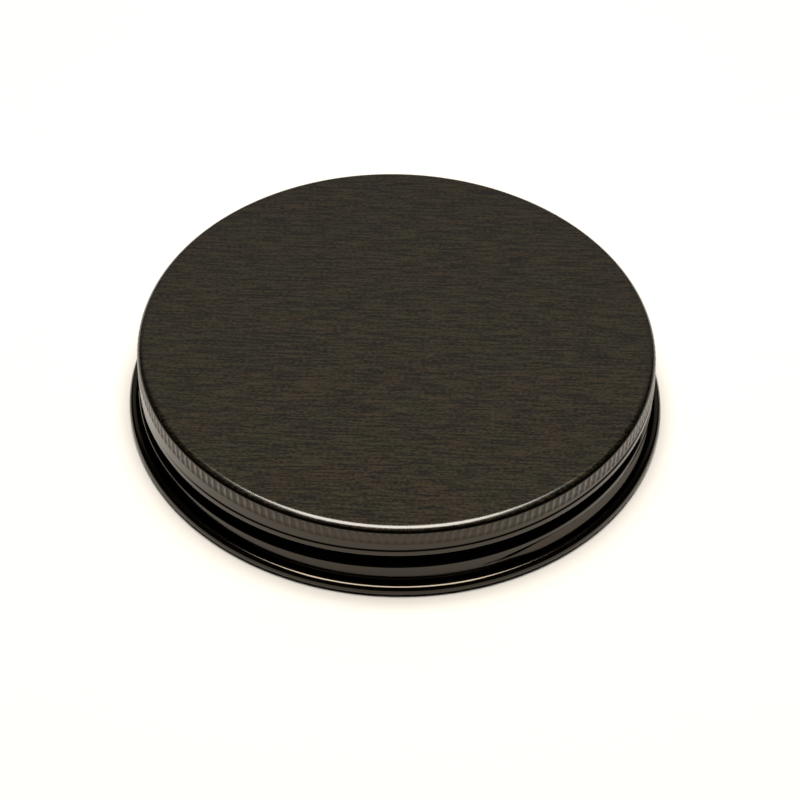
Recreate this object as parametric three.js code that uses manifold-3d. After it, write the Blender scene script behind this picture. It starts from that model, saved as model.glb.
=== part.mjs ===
// Screw lid of a candle tin: one drawn tinplate shell with a ribbed grip, a continuous thread
// rolled into its skirt and an outward wire curl at the rim, and the sealing ring moulded inside.
// Millimetres, +Z up. The origin is the middle of the circle that the rim rests on.
import * as THREE from "three";
import { mergeVertices } from "three/addons/utils/BufferGeometryUtils.js";
import Module from "manifold-3d";

const { degToRad, euclideanModulo, lerp, radToDeg, smoothstep } = THREE.MathUtils;

// Overall sizes.
const sheet = 0.25; // tinplate thickness
const lidHeight = 14.25;
const boreRadius = 44.61; // skirt's inside at the rim, clears the thread of an 89 mm neck

// Rim: the edge of the sheet rolled outwards into a wire.
const curlRadius = 1.0; // over the roll
const curlEndAngle = 120; // where the roll's cut edge stops, past the top, short of the skirt
const footWidth = 0.6; // flat that the rim rests on

// Grip: a ribbed band below the panel's rounded edge.
const kneeRadius = 1.35; // outside radius of the panel's edge
const ribCount = 200;
const ribDepth = 0.12;
const ribTopGap = 0.05; // from the rounded edge down to the ribs' upper ends
const ribLength = 1.9;
const ribFade = 0.15; // height of the step below the ribs
const ribRoot = 0.05; // overlap that joins the ribs to the sheet behind them

// Thread, right-hand, rolled inwards.
const threadPitch = 5.08;
const threadTurns = 1.25;
const threadDepth = 1.25;
const threadHalfWidth = 1.65;
const threadStartAngle = -70; // degrees anticlockwise from +X, seen from above
const threadStartRise = 0.15; // first turn's middle above the curl's top
const threadLeadIn = 0.3; // turns over which the groove reaches its full depth
const threadFade = 0.7; // height over which it dies out at the grip and at the curl

// Sealing ring moulded under the panel.
const gasketWidth = 5.4;
const gasketThickness = 0.9;
const gasketEdgeRadius = 0.35;
const gasketClearance = 0.05; // to the knee's inner curve

// How finely the round shapes are cut.
const segments = 64;
const kneeSteps = 3;
const skirtRows = 13;
const curlQuarterSteps = 2;
const curlTopSteps = 4;
const gasketEdgeSteps = 2;
const weldDistance = 1e-4; // vertices closer than this are one vertex

// Places that follow from the sizes.
const skirtRadius = boreRadius + sheet; // outside of the skirt and of the grip
const curlCentreRadius = boreRadius + curlRadius;
const curlTop = 2 * curlRadius;
const ribTop = lidHeight - kneeRadius - ribTopGap;
const ribBottom = ribTop - ribLength;
const gripBottom = ribBottom - ribFade;
const skirtBottom = curlRadius + sheet;
const threadStartHeight = curlTop + threadStartRise;

const wasm = await Module();
wasm.setup();

// Points on an arc from one angle to another, in degrees from the +r axis towards +z.
function arc(centreR, centreZ, radius, from, to, steps) {
  const points = [];
  for (let step = 0; step <= steps; step += 1) {
    const angle = degToRad(lerp(from, to, step / steps));
    const r = centreR + radius * Math.cos(angle);
    const z = centreZ + radius * Math.sin(angle);
    points.push(new THREE.Vector2(r, z));
  }
  return points;
}

// Rows of the skirt from the grip down to the curl, on its outside.
function skirtOutside() {
  const points = [];
  for (let row = 0; row <= skirtRows; row += 1) {
    points.push(new THREE.Vector2(skirtRadius, lerp(gripBottom, skirtBottom, row / skirtRows)));
  }
  return points;
}

// Shallow seat in the grip's wall that the ribs stand in.
function seatOutside() {
  const seat = skirtRadius - ribDepth - ribRoot;
  return [new THREE.Vector2(seat, ribTop), new THREE.Vector2(seat, ribBottom)];
}

// The same points one sheet thickness further in.
function inside(points) {
  return points.map(({ x, y }) => new THREE.Vector2(x - sheet, y));
}

// Arc of the rim's roll, from the skirt's side at 180 degrees, under the rim and up.
function curlArc(radius, from, to, steps) {
  return arc(curlCentreRadius, curlRadius, radius, from, to, steps);
}

// Outer face of the roll, flattened where the rim rests.
function curlOutside() {
  const footAngle = radToDeg(Math.asin(footWidth / 2 / curlRadius));
  const down = curlArc(curlRadius, 180, 270 - footAngle, curlQuarterSteps);
  const out = curlArc(curlRadius, 270 + footAngle, 360, curlQuarterSteps);
  const over = curlArc(curlRadius, 360, 360 + curlEndAngle, curlTopSteps);
  down.at(-1).y = 0;
  out[0].y = 0;
  return [...down, ...out, ...over.slice(1)];
}

// Inner face of the roll, from its cut edge back to the skirt.
function curlInside() {
  return curlArc(curlRadius - sheet, 360 + curlEndAngle, 180, 2 * curlQuarterSteps + curlTopSteps);
}

// Section of the whole shell, from the axis under the panel, round the rim and back to the axis.
function shellProfile() {
  const kneeCentreR = skirtRadius - kneeRadius;
  const kneeCentreZ = lidHeight - kneeRadius;
  const outerKnee = arc(kneeCentreR, kneeCentreZ, kneeRadius, 0, 90, kneeSteps);
  const innerKnee = arc(kneeCentreR, kneeCentreZ, kneeRadius - sheet, 90, 0, kneeSteps);
  const wall = [...seatOutside(), ...skirtOutside()];
  return [
    new THREE.Vector2(0, lidHeight - sheet),
    ...innerKnee,
    ...inside(wall),
    ...curlOutside(),
    ...curlInside(),
    ...wall.reverse(),
    ...outerKnee,
    new THREE.Vector2(0, lidHeight),
  ];
}

// How far the thread's groove is rolled in at one place on the skirt.
function threadInset(angle, z) {
  const fromStart = euclideanModulo(angle - degToRad(threadStartAngle), 2 * Math.PI);
  const aboveCurl = smoothstep(z - curlTop, 0, threadFade);
  const belowGrip = smoothstep(gripBottom - z, 0, threadFade);
  let inset = 0;
  for (let turns = fromStart / (2 * Math.PI); turns < threadTurns; turns += 1) {
    const across = Math.abs(z - threadStartHeight - threadPitch * turns) / threadHalfWidth;
    const leadIn = smoothstep(turns, 0, threadLeadIn);
    const leadOut = smoothstep(threadTurns - turns, 0, threadLeadIn);
    const section = across < 1 ? (1 + Math.cos(Math.PI * across)) / 2 : 0;
    inset = Math.max(inset, threadDepth * section * leadIn * leadOut);
  }
  return inset * aboveCurl * belowGrip;
}

// Moves each vertex of the turned shell in towards the axis by the groove's depth there.
function rollThread(geometry) {
  const positions = geometry.getAttribute("position");
  for (let index = 0; index < positions.count; index += 1) {
    const x = positions.getX(index);
    const y = positions.getY(index);
    const radius = Math.hypot(x, y);
    const inset = threadInset(Math.atan2(y, x), positions.getZ(index));
    if (inset > 0) positions.setXY(index, x - (x / radius) * inset, y - (y / radius) * inset);
  }
  return geometry;
}

// Ring of pointed ribs that stands on the grip's wall.
function ribRing() {
  const outline = new THREE.Shape();
  for (let corner = 0; corner < 2 * ribCount; corner += 1) {
    const angle = (Math.PI * corner) / ribCount;
    const radius = skirtRadius - (corner % 2) * ribDepth;
    const place = [radius * Math.cos(angle), radius * Math.sin(angle)];
    if (corner === 0) outline.moveTo(...place);
    else outline.lineTo(...place);
  }
  outline.closePath();
  const middleOfSheet = skirtRadius - ribDepth - ribRoot - sheet / 2;
  const back = new THREE.Path();
  back.absarc(0, 0, middleOfSheet, 0, 2 * Math.PI, true);
  outline.holes.push(back);
  const ring = new THREE.ExtrudeGeometry(outline, {
    depth: ribLength,
    bevelEnabled: false,
    curveSegments: segments,
  });
  return ring.translate(0, 0, ribBottom);
}

// Turned body of a profile of (radius, height) points, about +Z.
function turned(profile) {
  return new THREE.LatheGeometry(profile, segments).rotateX(Math.PI / 2);
}

// A closed solid from a geometry, with its shared vertices merged.
function solid(geometry) {
  const bare = geometry.index ? geometry.toNonIndexed() : geometry.clone();
  bare.deleteAttribute("normal");
  bare.deleteAttribute("uv");
  const merged = mergeVertices(bare, weldDistance);
  return new wasm.Manifold(
    new wasm.Mesh({
      numProp: 3,
      vertProperties: merged.getAttribute("position").array,
      triVerts: new Uint32Array(merged.index.array),
    }),
  );
}

// A geometry from a solid.
function geometryOf(body) {
  const { vertProperties, triVerts } = body.getMesh();
  const geometry = new THREE.BufferGeometry();
  geometry.setAttribute("position", new THREE.BufferAttribute(vertProperties, 3));
  geometry.setIndex(new THREE.BufferAttribute(triVerts, 1));
  geometry.computeVertexNormals();
  return geometry;
}

function shellGeometry() {
  const sheetBody = solid(rollThread(turned(shellProfile())));
  return geometryOf(sheetBody.add(solid(ribRing())));
}

// Ring of compound against the panel's underside, with rounded lower edges.
function gasketGeometry() {
  const top = lidHeight - sheet;
  const bottom = top - gasketThickness;
  const outer = skirtRadius - kneeRadius - gasketClearance;
  const inner = outer - gasketWidth;
  const edge = gasketEdgeRadius;
  const profile = [
    new THREE.Vector2(inner, top),
    ...arc(inner + edge, bottom + edge, edge, 180, 270, gasketEdgeSteps),
    ...arc(outer - edge, bottom + edge, edge, -90, 0, gasketEdgeSteps),
    new THREE.Vector2(outer, top),
    new THREE.Vector2(inner, top),
  ];
  return turned(profile);
}

function piece(name, geometry, material) {
  const mesh = new THREE.Mesh(geometry, new THREE.MeshStandardMaterial(material));
  mesh.name = name;
  return mesh;
}

const lid = new THREE.Group();
lid.add(piece("lid_shell", shellGeometry(), { color: "#35312b", roughness: 0.35, metalness: 0.7 }));
lid.add(piece("sealing_ring", gasketGeometry(), { color: "#d9d5ca", roughness: 0.55, metalness: 0 }));

export default lid;
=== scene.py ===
"""Looks of a candle tin's screw lid: a black-coated tinplate shell and its sealing ring.

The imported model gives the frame. The fine shell stands for the CAD shell and the moulded ring for
the CAD ring, each inside the box of the node that it replaces. Everything is in metres, with the
lid's axis on +Z and its rim on z = 0.
"""
import logging
import math
from dataclasses import dataclass, field
from enum import Enum

import bpy
import numpy as np
from mathutils import Matrix, Vector


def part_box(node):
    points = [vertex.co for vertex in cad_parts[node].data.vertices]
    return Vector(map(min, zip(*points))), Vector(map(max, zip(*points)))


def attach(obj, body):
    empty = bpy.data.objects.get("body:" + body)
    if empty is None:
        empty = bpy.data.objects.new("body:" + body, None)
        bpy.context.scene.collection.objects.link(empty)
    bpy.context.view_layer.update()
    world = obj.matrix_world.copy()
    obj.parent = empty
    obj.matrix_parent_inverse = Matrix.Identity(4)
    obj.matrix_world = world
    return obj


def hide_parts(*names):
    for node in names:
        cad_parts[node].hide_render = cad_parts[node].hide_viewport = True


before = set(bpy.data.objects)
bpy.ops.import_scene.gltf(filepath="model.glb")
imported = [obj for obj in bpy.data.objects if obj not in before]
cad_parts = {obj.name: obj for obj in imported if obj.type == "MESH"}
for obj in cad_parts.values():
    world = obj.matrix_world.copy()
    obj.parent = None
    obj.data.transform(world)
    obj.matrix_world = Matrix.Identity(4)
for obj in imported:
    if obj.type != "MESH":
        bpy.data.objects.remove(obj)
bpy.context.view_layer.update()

MM = 0.001
TOUCH = 1e-6  # metres; places closer than this are the same place
NOISE_SPAN = (0.3, 0.7)  # most of a noise's values lie between these
OUTWARD, UPWARD, INWARD, DOWNWARD = 0.0, 90.0, 180.0, 270.0  # directions in the section, in degrees
FULL_CIRCLE = 360.0
LOG = logging.getLogger("lid")

Pair = tuple[float, float]
Triple = tuple[float, float, float]
Socket = bpy.types.NodeSocket
Colour = Triple | Socket


class Side(Enum):
    """Which finish a stretch of the sheet carries; the value is its place among the slots."""

    PANEL = 0
    SKIRT = 1
    INSIDE = 2


# ---------------------------------------------------------------- shapes as arrays


def smooth_step(x: np.ndarray, low: float, high: float) -> np.ndarray:
    """Rises from 0 at low to 1 at high: 3t^2 - 2t^3, with t held between 0 and 1.

    Args:
        x: Values to map.
        low: Where the rise starts.
        high: Where it ends; below low, the curve falls instead.

    Returns:
        An array of the same shape as x.
    """
    t = np.clip((np.asarray(x, float) - low) / (high - low), 0.0, 1.0)
    return t * t * (3.0 - 2.0 * t)


def arc(centre: Pair, radius: float, start: float, stop: float, steps: int) -> np.ndarray:
    """Points on an arc: centre plus radius times (cos a, sin a).

    Args:
        centre: Radius and height of the arc's centre.
        radius: Radius of the arc.
        start: First angle in degrees, from the outward direction towards up.
        stop: Last angle in degrees.
        steps: Number of equal steps between them.

    Returns:
        Array of (radius, height) rows, steps + 1 long.
    """
    angle = np.radians(np.linspace(start, stop, steps + 1))
    return np.stack([centre[0] + radius * np.cos(angle), centre[1] + radius * np.sin(angle)], axis=1)


def round_axis(radius: np.ndarray, height: np.ndarray, angle: np.ndarray) -> np.ndarray:
    """Points round the axis: x = radius cos a, y = radius sin a, z = height.

    Args:
        radius: Distances from the axis.
        height: Heights above the rim.
        angle: Angles round the axis in radians; all three have shapes that broadcast together.

    Returns:
        Positions in an array of the common shape, with a last axis of 3.
    """
    places = np.broadcast_arrays(radius * np.cos(angle), radius * np.sin(angle), height)
    return np.stack(places, axis=-1)


@dataclass
class Stretch:
    """One stretch of the shell's section: rows of (radius, height) with one finish and one fineness."""

    rows: np.ndarray
    side: Side
    segments: int


def weave_rows(counts: np.ndarray) -> list[np.ndarray]:
    """Faces between rows of vertices that run round the axis, each row with its own count.

    Equal counts give quads. Where one count is a multiple of the other, each coarse edge takes all
    the fine edges beside it in one face. A count of 1 is a pole and gives triangles.

    Args:
        counts: Number of vertices in each row.

    Returns:
        For each gap between two rows, an array of faces, one row of vertex numbers a face.
    """
    starts = np.concatenate([[0], np.cumsum(counts)])
    faces = []
    for low, (near, far) in enumerate(zip(counts[:-1], counts[1:])):
        coarse = min(near, far) if min(near, far) > 1 else max(near, far)
        j = np.arange(coarse)
        sides = []
        for start, count in ((starts[low], near), (starts[low + 1], far)):
            share = count // coarse
            if share == 0:
                sides.append(np.full((coarse, 1), start))
            else:
                sides.append(start + (j[:, None] * share + np.arange(share + 1)[None, :]) % count)
        faces.append(np.concatenate([sides[0], sides[1][:, ::-1]], axis=1))
    return faces


def build_mesh(name: str, points: np.ndarray, faces: list[np.ndarray], sides: list[int]) -> bpy.types.Object:
    """Makes a smooth-shaded object from points and groups of faces.

    Args:
        name: Object and mesh name.
        points: Array of positions in metres.
        faces: One array of faces for each group.
        sides: Material slot of each group.

    Returns:
        The linked object, at the origin.
    """
    mesh = bpy.data.meshes.new(name)
    mesh.from_pydata(points.tolist(), [], [face for group in faces for face in group.tolist()])
    slots = np.concatenate([np.full(len(group), side) for group, side in zip(faces, sides)])
    mesh.polygons.foreach_set("material_index", slots.astype(np.int32))
    mesh.polygons.foreach_set("use_smooth", np.ones(len(slots), bool))
    mesh.update()
    piece = bpy.data.objects.new(name, mesh)
    bpy.context.scene.collection.objects.link(piece)
    return piece


# ---------------------------------------------------------------- finishes


class NodeSheet:
    """Shorthand for building a material's node tree."""

    # Places of the colour sockets on Blender's Mix node, where several share one name.
    MIX_FACTOR = 0
    MIX_FIRST = 6
    MIX_SECOND = 7
    MIX_RESULT = 2

    def __init__(self, name: str) -> None:
        """Starts a material with a Principled shader on its output.

        Args:
            name: The material's name.
        """
        self.material = bpy.data.materials.new(name)
        self.material.use_nodes = True
        self.tree = self.material.node_tree
        self.shader = self.tree.nodes["Principled BSDF"]
        self.object_point = self.tree.nodes.new("ShaderNodeTexCoord").outputs["Object"]

    def node(self, kind: str, **values: object) -> bpy.types.Node:
        """Adds a node and sets its properties by name.

        Args:
            kind: Blender's name for the kind of node.
            **values: Properties to set on it.

        Returns:
            The new node.
        """
        made = self.tree.nodes.new(kind)
        for key, value in values.items():
            setattr(made, key, value)
        return made

    def link(self, source: Socket, target: Socket) -> None:
        """Joins an output to an input."""
        self.tree.links.new(source, target)

    def feed(self, name: str, source: Socket) -> None:
        """Joins an output to one of the shader's inputs."""
        self.link(source, self.shader.inputs[name])

    def fix(self, name: str, value: float | tuple[float, ...]) -> None:
        """Sets one of the shader's inputs to a uniform value."""
        self.shader.inputs[name].default_value = value

    def math(self, operation: str, *values: object) -> Socket:
        """Adds a Math node.

        Args:
            operation: Blender's name for the operation.
            *values: What it works on: sockets or numbers.

        Returns:
            The node's output.
        """
        made = self.node("ShaderNodeMath", operation=operation)
        for index, value in enumerate(values):
            if isinstance(value, Socket):
                self.link(value, made.inputs[index])
            else:
                made.inputs[index].default_value = value
        return made.outputs[0]

    def noise(self, scale: Triple, detail: float, shift: float = 0.0) -> Socket:
        """Fractal noise on the object's own coordinates, scaled apart along each axis.

        Args:
            scale: Cells per metre along X, Y and Z.
            detail: Octaves of finer noise.
            shift: Offset that tells one pattern from another.

        Returns:
            The noise's value, about 0.5 on average.
        """
        mapping = self.node("ShaderNodeMapping")
        mapping.inputs["Scale"].default_value = scale
        mapping.inputs["Location"].default_value = (shift, shift, shift)
        self.link(self.object_point, mapping.inputs["Vector"])
        noise = self.node("ShaderNodeTexNoise")
        noise.inputs["Scale"].default_value = 1.0
        noise.inputs["Detail"].default_value = detail
        self.link(mapping.outputs["Vector"], noise.inputs["Vector"])
        return noise.outputs["Fac"]

    def ramp(self, value: Socket, span: Pair, onto: Pair = (0.0, 1.0)) -> Socket:
        """Maps a value from one span to another and holds it at the ends.

        Args:
            value: What to map.
            span: The value's own two ends.
            onto: What those ends become.

        Returns:
            The mapped value.
        """
        made = self.node("ShaderNodeMapRange")
        self.link(value, made.inputs["Value"])
        for key, number in zip(("From Min", "From Max", "To Min", "To Max"), (*span, *onto)):
            made.inputs[key].default_value = number
        return made.outputs["Result"]

    def blend(self, value: Socket, first: Colour, second: Colour) -> Socket:
        """Mixes two colours.

        Args:
            value: The share of the second colour.
            first: A socket or three numbers.
            second: The same.

        Returns:
            The mixed colour.
        """
        made = self.node("ShaderNodeMix", data_type="RGBA")
        for index, colour in ((self.MIX_FIRST, first), (self.MIX_SECOND, second)):
            if isinstance(colour, Socket):
                self.link(colour, made.inputs[index])
            else:
                made.inputs[index].default_value = (*colour, 1.0)
        self.link(value, made.inputs[self.MIX_FACTOR])
        return made.outputs[self.MIX_RESULT]

    def bump(self, height: Socket, distance: float) -> None:
        """Raises the surface for shading.

        Args:
            height: How high each place stands, in units of the distance.
            distance: The height that a value of 1 stands for, in metres.
        """
        made = self.node("ShaderNodeBump")
        made.inputs["Distance"].default_value = distance
        self.link(height, made.inputs["Height"])
        self.feed("Normal", made.outputs["Normal"])


@dataclass(frozen=True)
class BrushedBlack:
    """Panel's finish: fine linear grain along X in a dark warm coat, under a thin clear varnish.

    The grain is the mean of fine streaks and of broad ones, which are longer and wider by the two
    factors in broad_size. Dashes darken parts of it, and the coat drifts between brown and olive.
    """

    dark: Triple = (0.0016, 0.0012, 0.0005)
    brown: Triple = (0.0196, 0.0137, 0.0068)
    olive: Triple = (0.0168, 0.0142, 0.0066)
    streak_length: float = 0.7 * MM
    streak_width: float = 0.34 * MM
    broad_size: Pair = (7.0, 1.2)
    grain_span: Pair = (0.41, 0.6)
    dash_cells: float = 0.7
    dash_span: Pair = (0.3, 0.42)
    dash_shade: Pair = (0.4, 1.0)
    hue_cells: Triple = (90.0, 160.0, 160.0)
    hue_span: Pair = (0.42, 0.58)
    roughness: float = 0.54
    roughness_swing: float = 0.03
    grain_height: float = 0.003 * MM
    varnish_roughness: float = 0.205
    varnish_index: float = 1.5

    def grain(self, sheet: NodeSheet, fine: Socket) -> Socket:
        """How light each place of the grain is.

        Args:
            sheet: The material being built.
            fine: Noise of the fine streaks.

        Returns:
            A value from 0, dark, to 1, the coat's full colour.
        """
        across = 1.0 / self.streak_width
        along = 1.0 / self.streak_length
        longer, wider = self.broad_size
        broad = sheet.noise((along / longer, across / wider, across / wider), detail=1.0, shift=7.3)
        tone = sheet.math("ADD", sheet.math("MULTIPLY", fine, 0.5), sheet.math("MULTIPLY", broad, 0.5))
        cells = (along * self.dash_cells, across * self.dash_cells, across * self.dash_cells)
        dashes = sheet.ramp(sheet.noise(cells, detail=1.0, shift=3.9), self.dash_span, self.dash_shade)
        return sheet.math("MULTIPLY", sheet.ramp(tone, self.grain_span), dashes)

    def material(self) -> bpy.types.Material:
        """Builds the node material.

        Returns:
            The material, with its grain along the object's X axis.
        """
        sheet = NodeSheet("brushed_black")
        across = 1.0 / self.streak_width
        fine = sheet.noise((1.0 / self.streak_length, across, across), detail=1.0)
        hue = sheet.noise(self.hue_cells, detail=2.0, shift=1.9)
        coat = sheet.blend(sheet.ramp(hue, self.hue_span), self.brown, self.olive)
        sheet.feed("Base Color", sheet.blend(self.grain(sheet, fine), self.dark, coat))
        swing = (self.roughness + self.roughness_swing, self.roughness - self.roughness_swing)
        sheet.feed("Roughness", sheet.ramp(fine, NOISE_SPAN, swing))
        sheet.fix("Metallic", 1.0)
        sheet.fix("Coat Weight", 1.0)
        sheet.fix("Coat Roughness", self.varnish_roughness)
        sheet.fix("Coat IOR", self.varnish_index)
        sheet.bump(fine, self.grain_height)
        return sheet.material


@dataclass(frozen=True)
class BlackLacquer:
    """Skirt's and inside's finish: gloss black lacquer with a faint orange peel.

    A slow drift lifts the colour and roughens the gloss from place to place. A finer grit lies over
    the peel.
    """

    name: str
    colour: Triple = (0.0007, 0.0006, 0.0005)
    lift: float = 1.8
    tint: Triple = (1.0, 0.86, 0.68)
    roughness: float = 0.10
    roughness_drift: Pair = (-0.02, 0.03)
    drift_cells: float = 60.0
    peel: float = 0.0006 * MM
    peel_size: float = 1.4 * MM
    grit: float = 0.0003 * MM
    grit_fineness: float = 6.0

    def material(self) -> bpy.types.Material:
        """Builds the node material.

        Returns:
            The material, its roughness drifting a little from place to place.
        """
        sheet = NodeSheet(self.name)
        cells = 1.0 / self.peel_size
        grit_cells = self.grit_fineness * cells
        peel = sheet.noise((cells, cells, cells), detail=1.0)
        grit = sheet.noise((grit_cells, grit_cells, grit_cells), detail=1.0, shift=5.2)
        drift = sheet.noise((self.drift_cells, self.drift_cells, self.drift_cells), detail=2.0, shift=3.1)
        lifted = tuple(channel * self.lift for channel in self.colour)
        sheet.feed("Base Color", sheet.blend(drift, self.colour, lifted))
        low, high = self.roughness_drift
        sheet.feed("Roughness", sheet.ramp(drift, NOISE_SPAN, (self.roughness + low, self.roughness + high)))
        sheet.fix("Specular Tint", (*self.tint, 1.0))
        surface = sheet.math("ADD", peel, sheet.math("MULTIPLY", grit, self.grit / self.peel))
        sheet.bump(surface, self.peel)
        return sheet.material


@dataclass(frozen=True)
class SealingCompound:
    """Finish of the moulded ring: satin off-white compound with a faint skin."""

    pale: Triple = (0.70, 0.68, 0.62)
    dull: Triple = (0.62, 0.60, 0.53)
    roughness: Pair = (0.42, 0.54)
    cloud_cells: float = 180.0
    skin_cells: float = 1500.0
    skin_height: float = 0.006 * MM

    def material(self) -> bpy.types.Material:
        """Builds the node material.

        Returns:
            The material, clouded between its two colours.
        """
        sheet = NodeSheet("sealing_compound")
        cloud = sheet.noise((self.cloud_cells, self.cloud_cells, self.cloud_cells), detail=3.0)
        skin = sheet.noise((self.skin_cells, self.skin_cells, self.skin_cells), detail=2.0, shift=1.7)
        sheet.feed("Base Color", sheet.blend(cloud, self.dull, self.pale))
        sheet.feed("Roughness", sheet.ramp(cloud, NOISE_SPAN, self.roughness))
        sheet.bump(skin, self.skin_height)
        return sheet.material


@dataclass(frozen=True)
class TableTop:
    """Finish of the table: matt, pale and slightly warm."""

    colour: Triple = (0.506, 0.494, 0.473)
    roughness: float = 0.9
    gloss: float = 0.1

    def material(self) -> bpy.types.Material:
        """Builds the node material.

        Returns:
            The material, the same all over.
        """
        sheet = NodeSheet("table_white")
        sheet.fix("Base Color", (*self.colour, 1.0))
        sheet.fix("Roughness", self.roughness)
        sheet.fix("Specular IOR Level", self.gloss)
        return sheet.material


# ---------------------------------------------------------------- shell


@dataclass
class RolledThread:
    """The thread: a groove of rounded V section that climbs anticlockwise and dies out at both ends.

    Places along it are in turns from its start. The start bites in shallow, with a short steep side
    above and a long one below, and settles into the full section. A narrow notch marks the bite. From
    the last part of the first turn on, a low lip stands above the groove's upper edge.
    """

    pitch: float = 5.08 * MM
    turns: float = 1.25
    depth: float = 1.58 * MM
    lower_width: float = 1.66 * MM
    upper_width: float = 1.5 * MM
    root: float = 0.12
    start_angle: float = math.radians(-70.0)
    start_height: float = 2.2 * MM
    start_lift: float = 2.27 * MM
    start_drop: float = 0.8 * MM
    start_spread: float = 1.2 * MM
    start_pinch: float = 1.14 * MM
    start_ledge: float = 0.16 * MM
    settle: float = 0.3
    bite: float = 0.4
    bite_in: float = 0.045
    lead_in: Pair = (0.03, 0.17)
    lead_out: float = 0.16
    fade: float = 1.0 * MM
    notch: float = 0.32 * MM
    notch_width: float = 0.6 * MM
    notch_in: float = 0.026
    notch_end: Pair = (0.07, 0.026)
    notch_edge: float = 0.0065
    narrow_start: float = 0.35
    shallow_start: float = 0.3
    lip: float = 0.23 * MM
    lip_width: float = 1.2 * MM
    lip_edge: float = 0.26 * MM
    lip_start: Pair = (0.76, 0.84)

    def middle(self, along: np.ndarray) -> np.ndarray:
        """Height of the groove's middle: a steady climb, lifted near the start and dropped at it.

        It is the start's height plus the pitch times the turns, plus a lift that dies out as the
        groove settles, minus a drop that dies out over the bite.

        Args:
            along: Turns after the start.

        Returns:
            Heights above the rim in metres.
        """
        lift = self.start_lift * smooth_step(along, self.settle, 0)
        drop = self.start_drop * smooth_step(along, self.bite_in, 0)
        return self.start_height + self.pitch * along + lift - drop

    def groove(self, along: np.ndarray, offset: np.ndarray) -> np.ndarray:
        """Depth of the groove: a V of the distance from its middle, its root rounded as a hyperbola.

        The V is as wide below and above as the flanks are there: near the start the lower one spreads
        and the upper one is pinched. The depth rises in two smooth steps, the bite and the lead-in,
        and falls in one at the end.

        Args:
            along: Turns after the start.
            offset: Heights above the groove's middle.

        Returns:
            Depths in metres.
        """
        loose = smooth_step(along, self.settle, 0)
        below = self.lower_width + self.start_spread * loose
        above = self.upper_width - self.start_pinch * loose
        above = above - self.start_ledge * smooth_step(along, self.notch_in, 0)
        across = np.clip(np.abs(offset) / np.where(offset < 0, below, above), 0, 1)
        slant = (np.hypot(across, self.root) - self.root) / (math.hypot(1.0, self.root) - self.root)
        run = self.bite * smooth_step(along, 0, self.bite_in)
        run = run + (1 - self.bite) * smooth_step(along, *self.lead_in)
        run = run * smooth_step(self.turns - along, 0, self.lead_out)
        return self.depth * run * (1 - slant)

    def bite_notch(self, along: np.ndarray, offset: np.ndarray) -> np.ndarray:
        """Depth of the notch at the bite: a smooth bump across the groove's middle.

        It opens from its narrow and shallow start to its full width and depth, then dies out.

        Args:
            along: Turns after the start.
            offset: Heights above the groove's middle.

        Returns:
            Depths in metres.
        """
        opened = smooth_step(along, 0, self.notch_in)
        reach = self.notch_width * (self.narrow_start + (1 - self.narrow_start) * opened)
        deep = self.notch * (self.shallow_start + (1 - self.shallow_start) * opened)
        deep = deep * smooth_step(np.abs(offset), reach, 0)
        return deep * smooth_step(along, *self.notch_end) * smooth_step(along, 0, self.notch_edge)

    def upper_lip(self, along: np.ndarray, offset: np.ndarray) -> np.ndarray:
        """Height of the lip: a low step that rises over the upper flank and ends in a short edge.

        Args:
            along: Turns after the start.
            offset: Heights above the groove's middle.

        Returns:
            How far the lip stands out, in metres.
        """
        edge = self.upper_width + self.lip_width
        step = smooth_step(offset, edge, edge - self.lip_edge)
        step = step * smooth_step(offset, 0, self.upper_width)
        step = step * smooth_step(along, *self.lip_start)
        return self.lip * (step * smooth_step(self.turns - along, 0, self.lead_out))

    def inset(self, angle: np.ndarray, height: np.ndarray, floor: float, ceiling: float) -> np.ndarray:
        """How far the sheet is rolled in at each place; below zero where the lip stands out.

        Each place lies a share of a turn after the start, or that share and whole turns more. The
        inset is the deepest of the groove and its notch over these turns, less the highest lip, times
        a smooth rise above the floor and a fall below the ceiling.

        Args:
            angle: Angles round the axis.
            height: Heights above the rim, of a shape that broadcasts with angle.
            floor: Height at and below which there is no groove.
            ceiling: Height at and above which there is none.

        Returns:
            The inset in metres, one value for each place.
        """
        first = np.mod(angle - self.start_angle, 2 * np.pi) / (2 * np.pi)
        deepest = np.zeros(np.broadcast(angle, height).shape)
        highest = np.zeros_like(deepest)
        for turn in range(math.ceil(self.turns)):
            along = first + turn
            offset = height - self.middle(along)
            deepest = np.maximum(deepest, self.groove(along, offset) + self.bite_notch(along, offset))
            highest = np.maximum(highest, self.upper_lip(along, offset))
        room = smooth_step(height, floor, floor + self.fade)
        room = room * smooth_step(height, ceiling, ceiling - self.fade / 2)
        return (deepest - highest) * room


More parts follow.
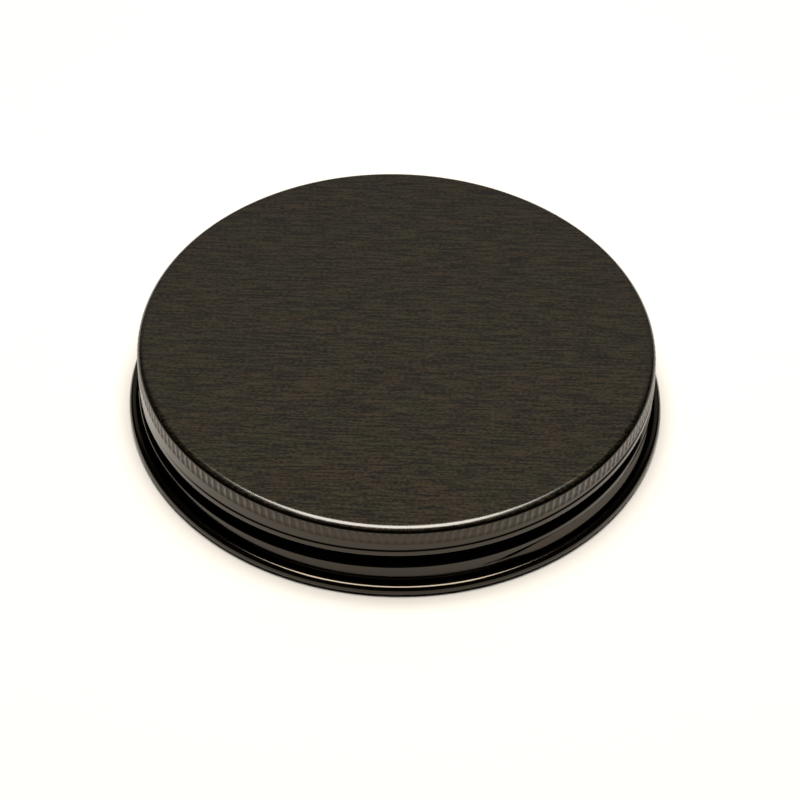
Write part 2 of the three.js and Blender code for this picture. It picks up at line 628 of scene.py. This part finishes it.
@dataclass
class LidShell:
    """The drawn shell: panel, knee, ribbed grip, skirt with its thread, and the rim's curl.

    The fields from coarse to grip_rows say how finely it is cut: points round the axis, points for
    each rib where the sheet is fluted, rows of its walls, steps of its arcs, and shares of the flat
    panel's radius and of the grip's height. The knee's first rows, as many as fluted_knee, are as
    fine as the flutes, and as many as lacquered_knee carry the skirt's lacquer.
    """

    height: float
    rim_radius: float
    sheet: float = 0.25 * MM
    curl_radius: float = 1.0 * MM
    curl_end: float = 106.0
    knee_radius: float = 1.45 * MM
    rib_count: int = 200
    rib_depth: float = 0.18 * MM
    rib_top_drop: float = 0.8 * MM
    rib_length: float = 2.5 * MM
    rib_end: float = 0.5 * MM
    rib_width: float = 0.5
    coarse: int = 400
    points_per_rib: int = 8
    inner_rows: int = 27
    skirt_rows: int = 91
    curl_steps: int = 36
    inner_curl_steps: int = 9
    inner_knee_steps: int = 5
    knee_steps: int = 18
    fluted_knee: int = 5
    lacquered_knee: int = 10
    underside: tuple[float, ...] = (0.0, 0.3, 0.7, 0.95, 0.995)
    panel: tuple[float, ...] = (0.995, 0.97, 0.9, 0.7, 0.5, 0.3, 0.1, 0.0)
    flute_step: float = 0.12
    flute_step_rows: int = 5
    grip_rows: int = 6
    thread: RolledThread = field(default_factory=RolledThread)

    def __post_init__(self) -> None:
        """Works out the places that follow from the sizes."""
        self.bore = self.rim_radius - 2 * self.curl_radius
        self.skirt = self.bore + self.sheet
        self.curl_centre = (self.rim_radius - self.curl_radius, self.curl_radius)
        self.rib_top = self.height - self.rib_top_drop
        self.rib_bottom = self.rib_top - self.rib_length
        self.fine = self.points_per_rib * self.rib_count

    def section(self) -> list[Stretch]:
        """The closed section as stretches, from the axis under the panel, round the rim, to the top.

        Returns:
            The stretches in order; each starts where the last one ended, and shares no row with it.
        """
        knee_centre = (self.skirt - self.knee_radius, self.height - self.knee_radius)
        flat, knee_bottom = knee_centre
        under = self.disc(flat, self.underside, self.height - self.sheet)
        inner_knee = arc(knee_centre, self.knee_radius - self.sheet, UPWARD, OUTWARD, self.inner_knee_steps)
        inner_z = np.linspace(knee_bottom, self.curl_radius, self.inner_rows)[1:-1]
        roll_end = FULL_CIRCLE + self.curl_end
        roll = arc(self.curl_centre, self.curl_radius, INWARD, roll_end, self.curl_steps)
        inner_radius = self.curl_radius - self.sheet
        inner_roll = arc(self.curl_centre, inner_radius, roll_end, INWARD, self.inner_curl_steps)
        skirt_z = np.linspace(self.curl_radius, self.rib_bottom, self.skirt_rows)[1:]
        ribs_z = self.rib_bottom + (knee_bottom - self.rib_bottom) * self.grip_shares()[1:-1]
        knee = arc(knee_centre, self.knee_radius, OUTWARD, UPWARD, self.knee_steps)
        return [
            Stretch(under, Side.INSIDE, self.coarse),
            Stretch(inner_knee, Side.INSIDE, self.coarse),
            Stretch(self.wall(self.bore, inner_z), Side.INSIDE, self.coarse),
            Stretch(roll, Side.SKIRT, self.coarse),
            Stretch(inner_roll, Side.SKIRT, self.coarse),
            Stretch(self.wall(self.skirt, skirt_z), Side.SKIRT, self.coarse),
            Stretch(self.wall(self.skirt, ribs_z), Side.SKIRT, self.fine),
            Stretch(knee[:self.fluted_knee], Side.SKIRT, self.fine),
            Stretch(knee[self.fluted_knee:self.lacquered_knee], Side.SKIRT, self.coarse),
            Stretch(knee[self.lacquered_knee:], Side.PANEL, self.coarse),
            Stretch(self.disc(flat, self.panel, self.height), Side.PANEL, self.coarse),
        ]

    def grip_shares(self) -> np.ndarray:
        """Shares of the grip's height where its rows lie: close together at the flutes' lower steps."""
        steps = np.linspace(0.0, self.flute_step, self.flute_step_rows)
        return np.concatenate([steps, np.linspace(self.flute_step, 1.0, self.grip_rows)[1:]])

    @staticmethod
    def disc(radius: float, shares: tuple[float, ...], height: float) -> np.ndarray:
        """Rows of a flat disc: shares of its radius, all at one height."""
        rows = np.array(shares)[:, None] * radius
        return np.concatenate([rows, np.full_like(rows, height)], axis=1)

    @staticmethod
    def wall(radius: float, heights: np.ndarray) -> np.ndarray:
        """Rows of an upright wall: the same radius at every height."""
        return np.stack([np.full_like(heights, radius), heights], axis=1)

    def rib_inset(self, angle: np.ndarray, z: np.ndarray) -> np.ndarray:
        """Depth of the pressed flutes: a raised cosine round the grip, ending in short steps.

        The cosine is raised to a power below 1, which makes the flutes wide and the ribs narrow.

        Args:
            angle: Angles round the axis.
            z: Heights above the rim.

        Returns:
            The inset in metres.
        """
        wave = (1 - np.cos(self.rib_count * angle)) / 2
        ends = smooth_step(z, self.rib_bottom, self.rib_bottom + self.rib_end)
        ends = ends * smooth_step(z, self.rib_top, self.rib_top - self.rib_end)
        return self.rib_depth * wave**self.rib_width * ends

    def ring(self, radius: float, z: float, segments: int) -> np.ndarray:
        """Carries one row of the section round the axis, with its thread or its flutes pressed in.

        The points are x = (r - inset) cos a, y = (r - inset) sin a, z as it is. The inset is the
        thread's on the skirt's two faces and the flutes' where the ring is a fine one.

        Args:
            radius: The row's radius; 0 gives one point.
            z: The row's height.
            segments: Number of points round the axis.

        Returns:
            The ring's positions.
        """
        count = 1 if radius < TOUCH else segments
        angle = np.arange(count) * 2 * np.pi / count
        heights = np.full(count, z)
        inset = np.zeros(count)
        if self.bore - TOUCH < radius < self.skirt + TOUCH:
            inset = self.thread.inset(angle, heights, self.curl_radius, self.rib_bottom)
        if segments == self.fine:
            inset = inset + self.rib_inset(angle, heights)
        return round_axis(radius - inset, heights, angle)

    def build(self) -> bpy.types.Object:
        """Carries the section round the axis, row by row, and weaves the rings together.

        Returns:
            The shell as one closed mesh with its three finishes.
        """
        rings, sides = [], []
        for stretch in self.section():
            for radius, z in stretch.rows:
                rings.append(self.ring(radius, z, stretch.segments))
                sides.append(stretch.side.value)
        points = np.concatenate(rings)
        faces = weave_rows(np.array([len(ring) for ring in rings]))
        triangles = sum(len(group) * (group.shape[1] - 2) for group in faces)
        LOG.info("shell: %d points, %d triangles", len(points), triangles)
        return build_mesh("lid_shell_fine", points, faces, sides[1:])

    def dress(self, piece: bpy.types.Object) -> None:
        """Gives the shell its finishes, in the order of Side.

        Args:
            piece: The shell.
        """
        finishes = (
            BrushedBlack(),
            BlackLacquer("gloss_lacquer"),
            BlackLacquer("inner_lacquer", roughness=0.26),
        )
        for finish in finishes:
            piece.data.materials.append(finish.material())


@dataclass
class SealingRing:
    """Ring of compound that was flowed into the corner under the panel."""

    outer: float
    bottom: float
    top: float
    width: float = 5.4 * MM
    edge_share: float = 0.4
    edge_steps: int = 8
    dish: float = 0.06 * MM
    face_rows: int = 15
    segments: int = 256

    def section(self) -> np.ndarray:
        """The closed section: flat on top, rounded below, its face very slightly hollow.

        The edges' radius is a share of the thickness. The face stands higher than the bottom by the
        dish times (1 - m^2), where m runs from -1 to 1 across it.

        Returns:
            Rows of (radius, height); the last one repeats the first.
        """
        inner = self.outer - self.width
        edge = self.edge_share * (self.top - self.bottom)
        across = np.linspace(inner + edge, self.outer - edge, self.face_rows)[1:-1]
        middle = (across - across.mean()) / (across[-1] - across[0]) * 2
        face = np.stack([across, self.bottom + self.dish * (1 - middle**2)], axis=1)
        centre_z = self.bottom + edge
        return np.concatenate([
            arc((inner + edge, centre_z), edge, INWARD, DOWNWARD, self.edge_steps),
            face,
            arc((self.outer - edge, centre_z), edge, DOWNWARD - FULL_CIRCLE, OUTWARD, self.edge_steps),
            [[self.outer, self.top]],
            [[inner, self.top]],
            [[inner, centre_z]],
        ])

    def build(self) -> bpy.types.Object:
        """Carries the section round the axis and joins its last row to its first.

        Returns:
            The ring as one closed mesh.
        """
        rows = self.section()
        angle = np.arange(self.segments) * 2 * np.pi / self.segments
        points = round_axis(rows[:-1, None, 0], rows[:-1, None, 1], angle).reshape(-1, 3)
        faces = weave_rows(np.full(len(rows), self.segments))
        faces[-1] = faces[-1] % len(points)
        return build_mesh("sealing_ring_fine", points, faces, [0] * len(faces))

    def dress(self, piece: bpy.types.Object) -> None:
        """Gives the ring its compound."""
        piece.data.materials.append(SealingCompound().material())


# ---------------------------------------------------------------- studio


@dataclass(frozen=True)
class AreaLamp:
    """A rectangular lamp over the table's middle line, turned to face the origin."""

    name: str
    width: float
    depth: float
    back: float
    height: float
    power: float
    colour: Triple

    def hang(self) -> None:
        """Puts the lamp in the scene, tilted about X by the angle whose tangent is back over height."""
        lamp = bpy.data.lights.new(self.name, "AREA")
        lamp.shape = "RECTANGLE"
        lamp.size = self.width
        lamp.size_y = self.depth
        lamp.energy = self.power
        lamp.color = self.colour
        holder = bpy.data.objects.new(self.name, lamp)
        holder.location = (0.0, self.back, self.height)
        holder.rotation_euler = (-math.atan2(self.back, self.height), 0.0, 0.0)
        bpy.context.scene.collection.objects.link(holder)


SOFTBOX = AreaLamp(
    "softbox", width=0.66, depth=0.64, back=0.06, height=1.0, power=26.7, colour=(1.0, 0.95, 0.88)
)
FAR_WALL = AreaLamp(
    "far_wall", width=2.4, depth=0.8, back=1.2, height=0.8, power=2.0, colour=(1.0, 0.92, 0.82)
)


@dataclass
class Studio:
    """Pale table, softbox overhead, glow of a far wall, dark room and the camera.

    The camera's angles are in degrees: how far it looks down, how far it is rolled, and how far its
    aim is turned off the origin about its own up and right directions. Its lens and its sensor are
    in millimetres, everything else in metres.
    """

    table_half: float = 0.6
    room_colour: Triple = (1.0, 0.97, 0.93)
    room_level: float = 0.004
    backdrop_level: float = 1.0
    elevation: float = 44.86
    distance: float = 524.1 * MM
    roll: float = 1.6
    aim: Pair = (-0.09, -0.03)
    lens: float = 133.9245
    sensor: float = 36.0
    clip_start: float = 0.01

    def floor(self) -> None:
        """Lays a large pale table under the rim."""
        half = self.table_half
        mesh = bpy.data.meshes.new("table")
        corners = [(-half, -half, 0), (half, -half, 0), (half, half, 0), (-half, half, 0)]
        mesh.from_pydata(corners, [], [(0, 1, 2, 3)])
        table = bpy.data.objects.new("table", mesh)
        bpy.context.scene.collection.objects.link(table)
        mesh.materials.append(TableTop().material())

    def room(self) -> None:
        """Sets the room's light: a pale backdrop to the eye, nearly dark to everything else."""
        world = bpy.data.worlds.new("studio")
        world.use_nodes = True
        tree = world.node_tree
        back = tree.nodes["Background"]
        back.inputs["Color"].default_value = (*self.room_colour, 1.0)
        path = tree.nodes.new("ShaderNodeLightPath")
        level = tree.nodes.new("ShaderNodeMapRange")
        level.inputs["To Min"].default_value = self.room_level
        level.inputs["To Max"].default_value = self.backdrop_level
        tree.links.new(path.outputs["Is Camera Ray"], level.inputs["Value"])
        tree.links.new(level.outputs["Result"], back.inputs["Strength"])
        bpy.context.scene.world = world

    def camera(self) -> None:
        """Sets the camera on a sphere about the rim's centre, turned a little off it and rolled."""
        elevation = math.radians(self.elevation)
        back = Vector((0.0, -math.cos(elevation), math.sin(elevation)))
        place = back * self.distance
        right = Vector((1.0, 0.0, 0.0))
        up = back.cross(right)
        pan = Matrix.Rotation(math.radians(self.aim[0]), 3, up)
        turn = pan @ Matrix.Rotation(math.radians(self.aim[1]), 3, right)
        back, right, up = turn @ back, turn @ right, turn @ up
        roll = math.radians(self.roll)
        level = math.cos(roll) * right + math.sin(roll) * up
        above = -math.sin(roll) * right + math.cos(roll) * up
        lens = bpy.data.cameras.new("camera")
        lens.sensor_width = self.sensor
        lens.lens = self.lens
        lens.clip_start = self.clip_start
        eye = bpy.data.objects.new("camera", lens)
        eye.matrix_world = Matrix((level, above, back)).transposed().to_4x4()
        eye.location = place
        bpy.context.scene.collection.objects.link(eye)
        bpy.context.scene.camera = eye

    def build(self) -> None:
        """Makes the table, the lamps, the room and the camera, and sets plain colour management."""
        self.floor()
        SOFTBOX.hang()
        FAR_WALL.hang()
        self.room()
        self.camera()
        bpy.context.scene.view_settings.view_transform = "Standard"
        bpy.context.scene.view_settings.look = "None"


def main() -> None:
    """Builds the studio and the lid's pieces."""
    logging.basicConfig(level=logging.INFO, format="%(name)s: %(message)s")
    Studio().build()
    _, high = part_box("lid_shell")
    shell = LidShell(height=high.z, rim_radius=high.x)
    ring_low, ring_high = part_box("sealing_ring")
    ring = SealingRing(outer=ring_high.x, bottom=ring_low.z, top=ring_high.z)
    parts = (
        (shell, "lid_shell", "black_lacquer"),
        (ring, "sealing_ring", "sealing_compound"),
    )
    for part, node, slot in parts:
        piece = part.build()
        part.dress(piece)
        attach(piece, "root")
        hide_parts(node)
        LOG.info("%s stands for %s", piece.name, node)


if __name__ == "__main__":
    main()
